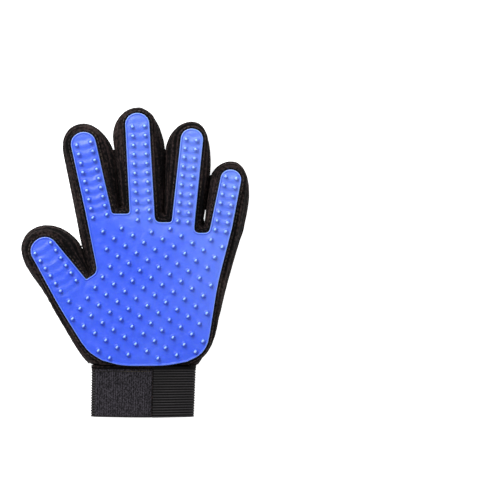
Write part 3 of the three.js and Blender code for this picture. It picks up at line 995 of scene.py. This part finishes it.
left_fold = arc(FOLD_LEFT, FOLD_LEFT[1] - 0.1, 90, 270, 20)
band = [(26, 11.0), (5, 11.0), (-10, 11.0), *left_fold, (-10, 0.1), (10, 0.1), (37.4, 0.1)]
cuff_band = make_piece("cuff_band_elastic", [ribbed(band, False)], elastic, thickness=ELASTIC)
bind(cuff_band, "hand", "elastic", "cuff_band")

right_fold = arc(FOLD_RIGHT, FOLD_RIGHT[1] - 0.15, 59, -90, 22)
cuff_return = make_piece("cuff_return_elastic", [ribbed(right_fold, True)], elastic, thickness=ELASTIC)
bind(cuff_return, "hand", "elastic", "strap_return")


# Loop patch: brushed nylon loop tape sewn on the cuff's front. A dark binding covers its top
# edge, with a row of stitches under it.
LOOP_LEFT, LOOP_RIGHT, LOOP_TOP = -29.8, 25.0, 12.55
BINDING = 3.4

loop_tape = Finish("loop_tape", {"Roughness": 0.95, "Specular IOR Level": 0.2})
wale_u, wale_v, _ = loop_tape.split(loop_tape.cloth((1000 / 1.7, 1000 / 1.15, 1)))
wale = (wale_u * math.tau).sine() * 0.5 + 0.5
course = (wale_v * math.tau + (wale_u * math.tau).sine()).sine() * 0.5 + 0.5
pile = loop_tape.grain(loop_tape.place((1.35, 1, 1)), 900.0, 3.0)
shade = (wale * 0.42 + course * 0.12 + (pile - 0.5) * 3.6 + 0.11).clamped()
loop_tape.colour(loop_tape.blend(shade, (0.0045, 0.0042, 0.005), (0.060, 0.054, 0.066)))
loop_tape.relief(pile + wale * 0.4, 0.0006)


def cuff_slab(left, right, bottom, top, rough, low=BOTTOM + 0.9, high=TOP - 0.9, spacing=0.8):
    """A flat tape sewn to the cuff, its edges rounded down and its face a little rough."""
    xs = np.linspace(left, right, max(round((right - left) / spacing), 4))
    ys = np.linspace(low, high, max(round((high - low) / spacing), 4))
    rings, flats = [], []
    for x in xs:
        ring = []
        for y in ys:
            room = min(x - left, right - x, y - low, high - y)
            edge = (1 - min(room / 0.6, 1)) ** 2
            fuzz = rough * noise.noise((x * 1.1, y * 1.1, 3)) * min(room / 0.6, 1)
            ring.append(cuff_spot(x, y, top - edge * (top - bottom) + fuzz))
        rings.append(ring)
        flats.append([(x, y) for y in ys])
    return strip(range(len(ys)), rings, flats)


tape = cuff_slab(LOOP_LEFT, LOOP_RIGHT, 11.6, LOOP_TOP, 0.22)
loop_patch = make_piece("loop_patch_tape", [tape], loop_tape, thickness=0.5)
bind(loop_patch, "hand", "loop", "loop_patch")
band = cuff_slab(-32.2, 13.2, 12.0, 13.2, 0.05, TOP - BINDING, TOP - 0.1, 0.6)
binding = make_piece("cuff_binding", [band], knit, thickness=0.4)
bind(binding, "hand", "knit")
seam_row = np.array([cuff_spot(x, TOP - BINDING - 1.2, 0)[:2] for x in np.arange(-30.5, 13, 0.5)])
bind(make_piece("cuff_stitches", stitches_along(seam_row, 12.75, 2.6), thread), "hand", "loop")


# Strap: the same elastic carried on over the loop patch. Its free end is turned under and sewn, and
# moulded hooks on its underside hold the loops. On the real glove it peels back from the right; here it
# lies flat.
STRAP_END, HINGE, HINGE_BEND = 13.9, 38.0, 4.0
STRAP_TOP = 15.45
HOOK_TAPE = 13.15
HOOK_STEP = 1.35

strap_top = [
    (STRAP_END, STRAP_TOP - 1.0), (STRAP_END + 0.12, STRAP_TOP - 0.3), (STRAP_END + 0.7, STRAP_TOP),
    (25, STRAP_TOP), *arc(FOLD_RIGHT, FOLD_RIGHT[1] - 0.15, 90, 59, 6),
]
section = ribbed(strap_top[::-1], False, TOP - 1.0)
strap = make_piece("strap_elastic", [section], elastic, thickness=ELASTIC)
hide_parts("strap", "strap_hem")
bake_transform(strap)

edging = cuff_slab(13.3, 14.3, 14.2, 15.7, 0.05, BOTTOM + 0.3, TOP - 1.2, 0.5)
overlock = make_piece("strap_overlock", [edging], knit, thickness=0.4)
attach(overlock, "strap")

hook_tape = Finish("hook_tape", {"Roughness": 0.45, "Specular IOR Level": 0.4})
tint = hook_tape.grain(hook_tape.place(), 90.0)
hook_tape.colour(hook_tape.blend(tint, (0.006, 0.006, 0.007), (0.02, 0.02, 0.022)))


def hook_part(x, y):
    """A moulded hook that hangs from the tape and curls over at its end."""
    path = [(0, 0.0), (0, -0.45), (0.14, -0.7), (0.34, -0.66)]
    corners = [(-0.1, -0.15), (0.1, -0.15), (0.1, 0.15), (-0.1, 0.15)]
    points = [(x + over + w, y + d, HOOK_TAPE + up) for over, up in path for w, d in corners]
    faces = [(15, 14, 13, 12)]
    for row in range(0, 12, 4):
        for k in range(4):
            after = (k + 1) % 4
            faces.append((row + 4 + k, row + 4 + after, row + after, row + k))
    return points, faces, [point[:2] for point in points]


hook_rows = np.arange(-112, -79.5, HOOK_STEP)
hooks = [hook_part(x, y) for x in np.arange(16.2, 33, HOOK_STEP) for y in hook_rows]
plate = cuff_slab(14.8, 34, HOOK_TAPE - 0.05, 13.9, 0.0, BOTTOM + 2, TOP - 2, 2.0)
hook_patch = make_piece("hook_patch_tape", [plate, *hooks], hook_tape)
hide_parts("hook_patch")
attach(hook_patch, "strap")
